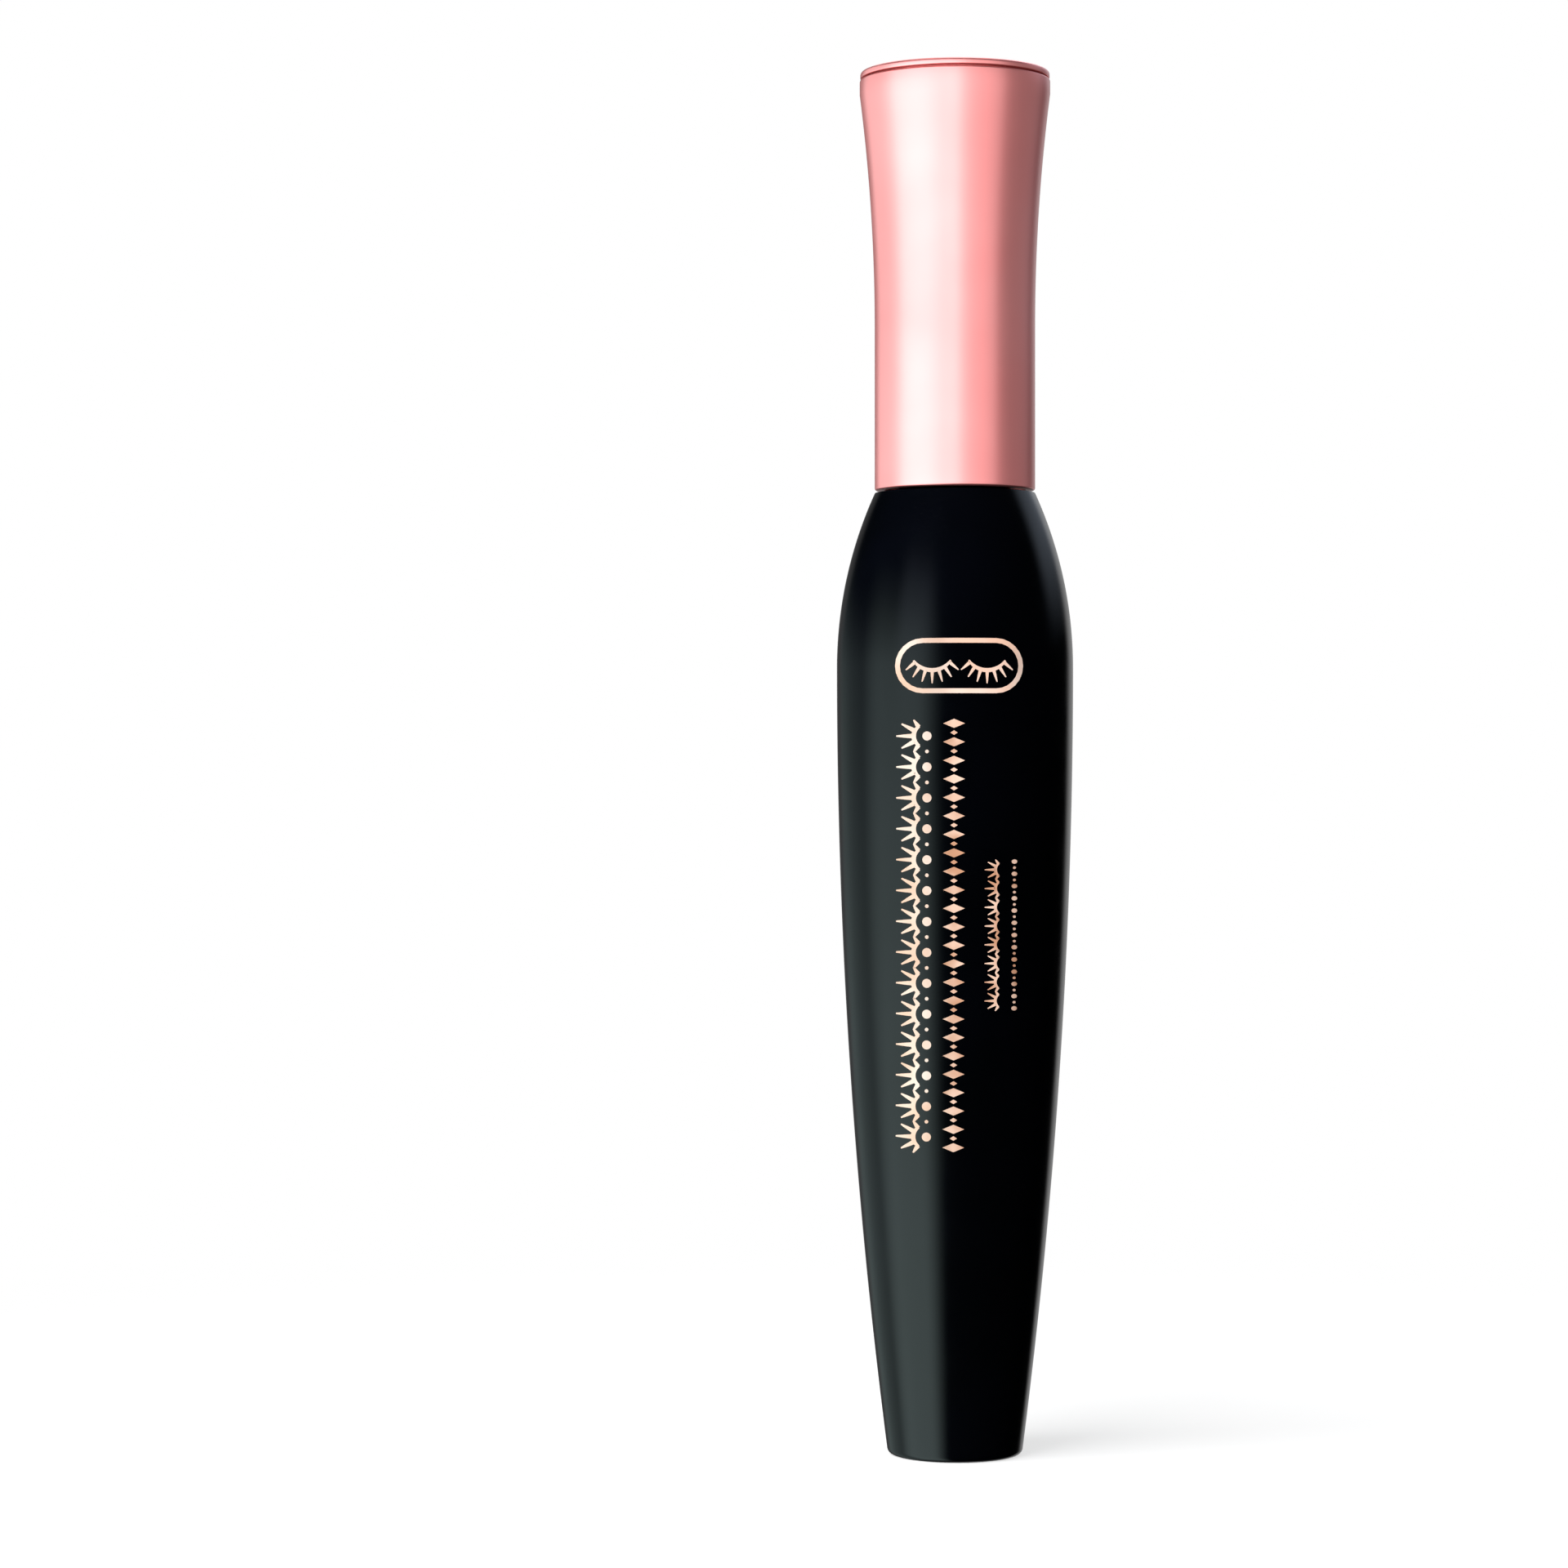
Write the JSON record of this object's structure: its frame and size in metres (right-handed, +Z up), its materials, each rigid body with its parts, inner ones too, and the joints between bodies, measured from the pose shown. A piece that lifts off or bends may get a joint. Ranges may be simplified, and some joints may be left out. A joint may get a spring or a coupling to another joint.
{
  "type": "mascara tube",
  "caption": "Mascara tube: a black bottle with a long soft belly and a screw-on flared pink cap that carries a rod and a tapered twisted-wire brush.",
  "frame": {"origin": "centre of the bottle's base, on the surface it stands on", "axes": "+Z up along the tube's axis, from base to cap; -Y is the side with the foil decoration, +X is to the right of it"},
  "size_m": [0.0212, 0.0212, 0.124],
  "materials": {
    "bottle_black_gloss": "gloss",
    "wiper_natural": null,
    "paste_black": null,
    "label_paper": null,
    "gasket_white": null,
    "cap_pink_metallised": "gloss",
    "inner_cap_black": null,
    "rod_black": "gloss",
    "wire_steel": null,
    "bristle_black": null,
    "foil_rose_gold": "gloss"
  },
  "bodies": {
    "bottle": {"bottle": "bottle_black_gloss", "wiper": "wiper_natural", "mascara_paste": "paste_black", "base_label": "label_paper"},
    "gasket": {"gasket": "gasket_white"},
    "cap_end_disc": {"cap_end_disc": "cap_pink_metallised"},
    "applicator": {"cap_shell": "cap_pink_metallised", "inner_cap": "inner_cap_black", "rod": "rod_black", "brush_wire": "wire_steel", "brush_bristles": "bristle_black"}
  },
  "joints": [
    {"name": "applicator_pull", "type": "slide", "parent": "bottle", "child": "gasket", "axis": [0, 0, 1], "range_m": [0, 0.098], "deforming": ["brush_bristles"]},
    {"name": "thread_rise", "type": "slide", "parent": "gasket", "child": "cap_end_disc", "axis": [0, 0, 1], "range_m": [0, 0.0045]},
    {"name": "cap_turn", "type": "hinge", "parent": "cap_end_disc", "child": "applicator", "pos_m": [0, 0, 0.1], "axis": [0, 0, 1], "range_deg": [0, 540]}
  ],
  "couplings": [
    {"joint": "cap_turn", "follows": "thread_rise", "rad_per_m": 2094.4}
  ]
}
